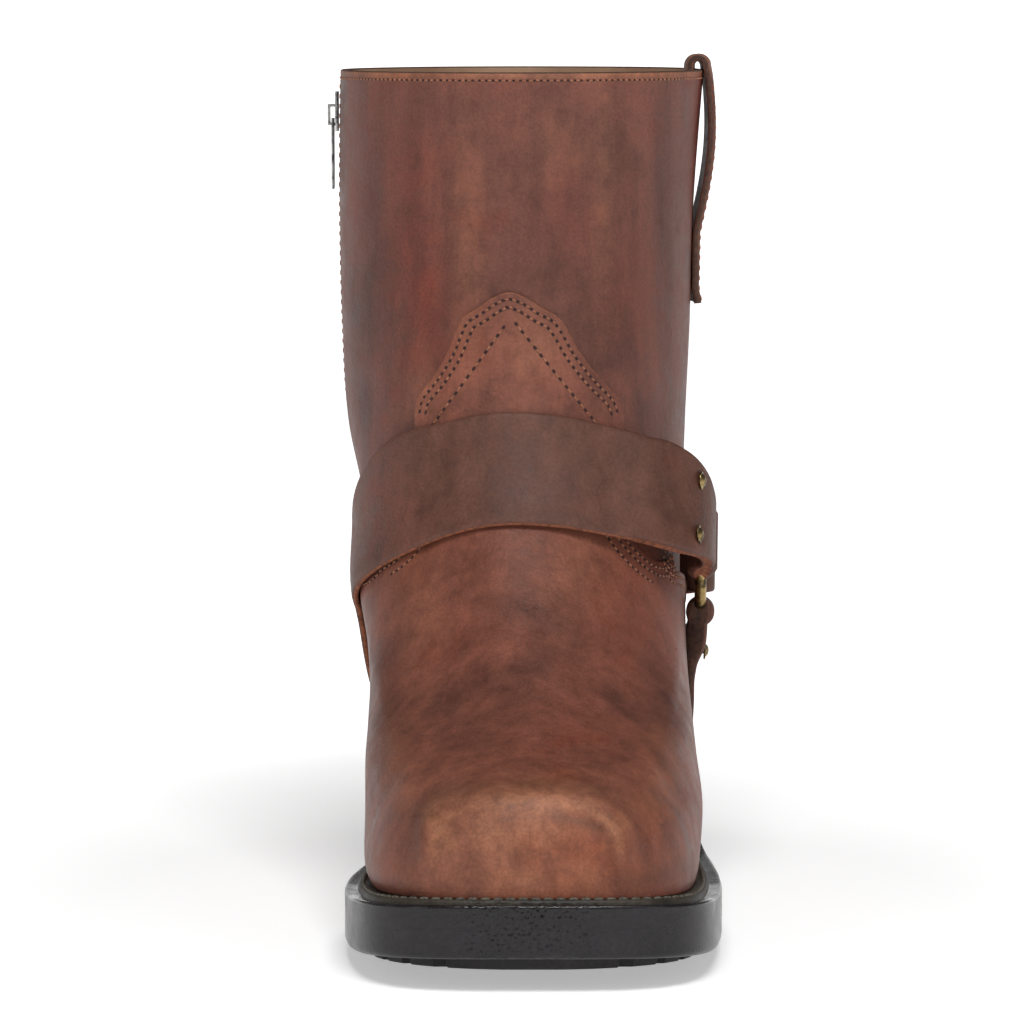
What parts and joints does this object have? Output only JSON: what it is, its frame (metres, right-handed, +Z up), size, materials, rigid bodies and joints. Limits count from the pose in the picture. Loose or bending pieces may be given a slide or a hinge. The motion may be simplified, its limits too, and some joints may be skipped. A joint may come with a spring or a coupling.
{
  "type": "cowboy ankle boot",
  "caption": "Left square-toe harness ankle boot: hollow leather upper with side zip, vamp and heel overlays, strap harness on a ring, pull strap, welted lugged sole and block heel.",
  "frame": {"origin": "on the ground under the middle of the boot", "axes": "+Z up, toe towards -Y, +X towards the outer side of the left foot"},
  "size_m": [0.1276, 0.305, 0.2681],
  "materials": {
    "shaft_leather": "oiled, worn",
    "vamp_leather": "oiled, worn",
    "strap_leather": "oiled, worn",
    "lining": "matte",
    "rubber": "buffed",
    "welt": "satin",
    "antique_brass": "antique",
    "zip_metal": "dark",
    "zip_cloth": "woven"
  },
  "bodies": {
    "boot": {"outsole": "rubber", "midsole": "rubber", "welt": "welt", "heel": "rubber", "upper": "shaft_leather", "insole": "lining", "vamp": "vamp_leather", "heel_counter": "vamp_leather", "ring": "antique_brass", "harness_strap": "strap_leather", "sole_strap": "strap_leather", "stud_1": "antique_brass", "stud_2": "antique_brass", "stud_3": "antique_brass", "stud_4": "antique_brass", "pull_strap": "strap_leather", "zip_tape": "zip_cloth", "zip_teeth": "zip_metal", "zip_slider": "zip_metal"},
    "zip_tab": {"zip_pull": "zip_metal"}
  },
  "joints": [
    {"name": "zip_tab_swing", "type": "hinge", "parent": "boot", "child": "zip_tab", "pos_m": [-0.06203, 0.07412, 0.24652], "axis": [0, 1, 0], "range_deg": [-3, 135]}
  ]
}
